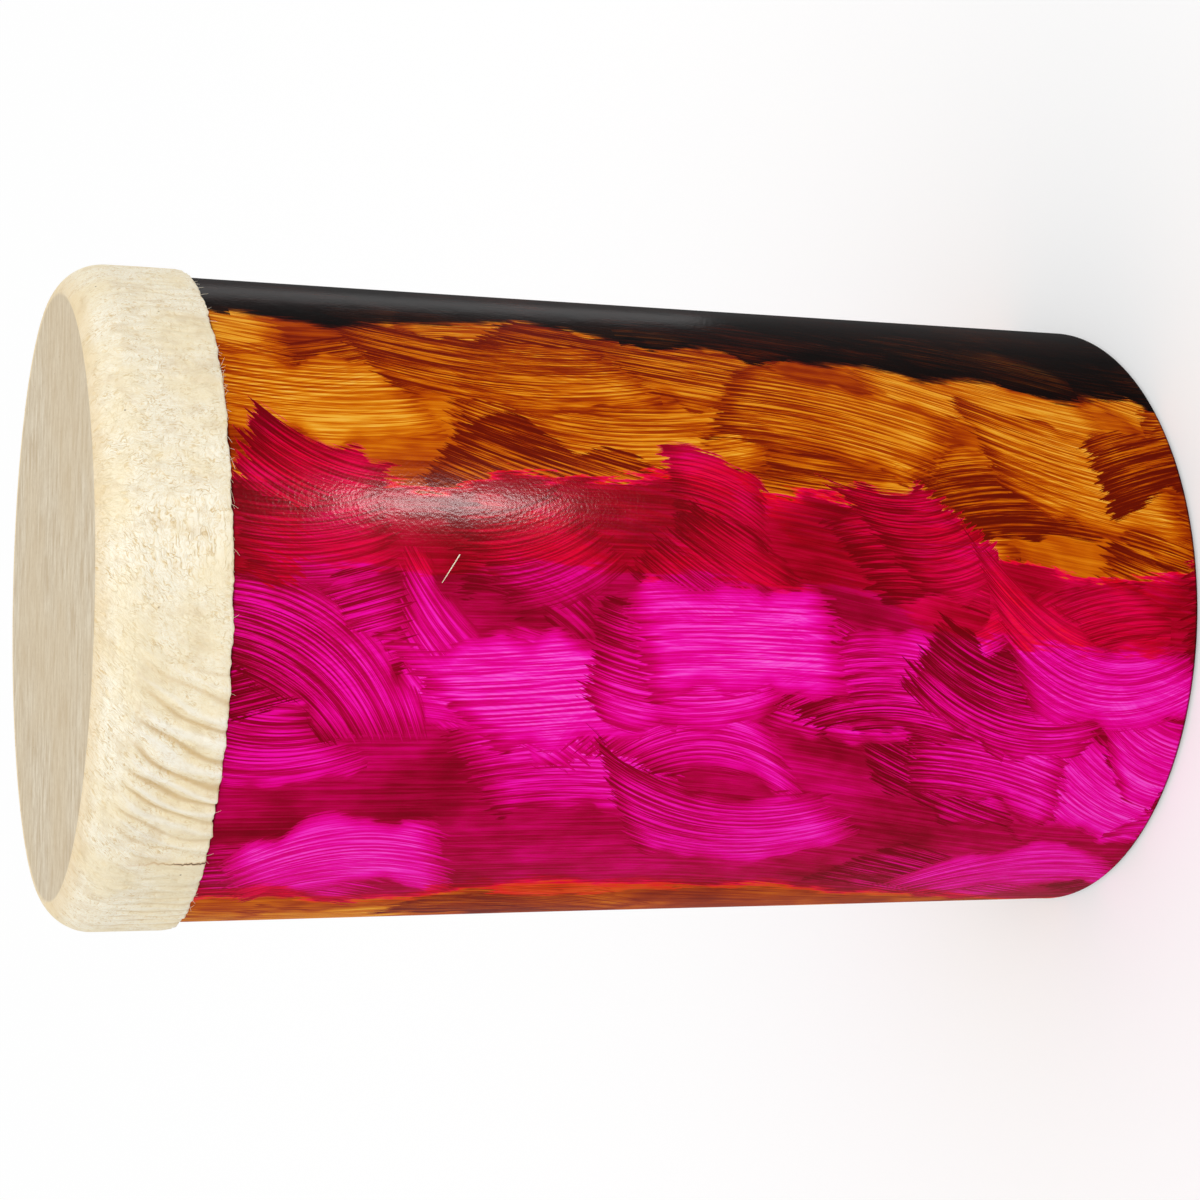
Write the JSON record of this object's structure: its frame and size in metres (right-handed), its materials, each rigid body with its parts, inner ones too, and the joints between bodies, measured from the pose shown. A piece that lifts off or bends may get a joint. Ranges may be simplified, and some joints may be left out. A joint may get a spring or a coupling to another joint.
{
  "type": "thunder drum",
  "caption": "Thunder drum: a lacquered tube with a goatskin head glued over one end, open at the other, and a steel spring that hangs from the skin and swings inside.",
  "frame": {"origin": "middle of the open rim's end face, which the drum stands on", "axes": "+Z along the drum's axis, from the open rim to the skin; -Y is the side that the picture shows"},
  "size_m": [0.153, 0.153, 0.26],
  "materials": {
    "lacquered_tube": "brushed magenta, amber and black colours under clear gloss lacquer on paperboard",
    "goatskin": "dry cream rawhide with fine hair grain",
    "button_wood": "plain sanded wood",
    "link_steel": "zinc-plated wire",
    "spring_steel": "drawn spring wire"
  },
  "bodies": {
    "drum": {"drum_tube": "lacquered_tube", "drum_skin": "goatskin", "anchor_button": "button_wood", "screw_eye": "link_steel"},
    "link": {"jump_ring": "link_steel"},
    "spring": {"thunder_spring": "spring_steel"}
  },
  "joints": [
    {"name": "ring_swing", "type": "hinge", "parent": "drum", "child": "link", "pos_m": [0, 0, 0.2353], "axis": [1, 0, 0], "range_deg": [-12, 12]},
    {"name": "spring_swing", "type": "hinge", "parent": "link", "child": "spring", "pos_m": [0, 0, 0.2247], "axis": [0, 1, 0], "range_deg": [-12, 12]}
  ]
}
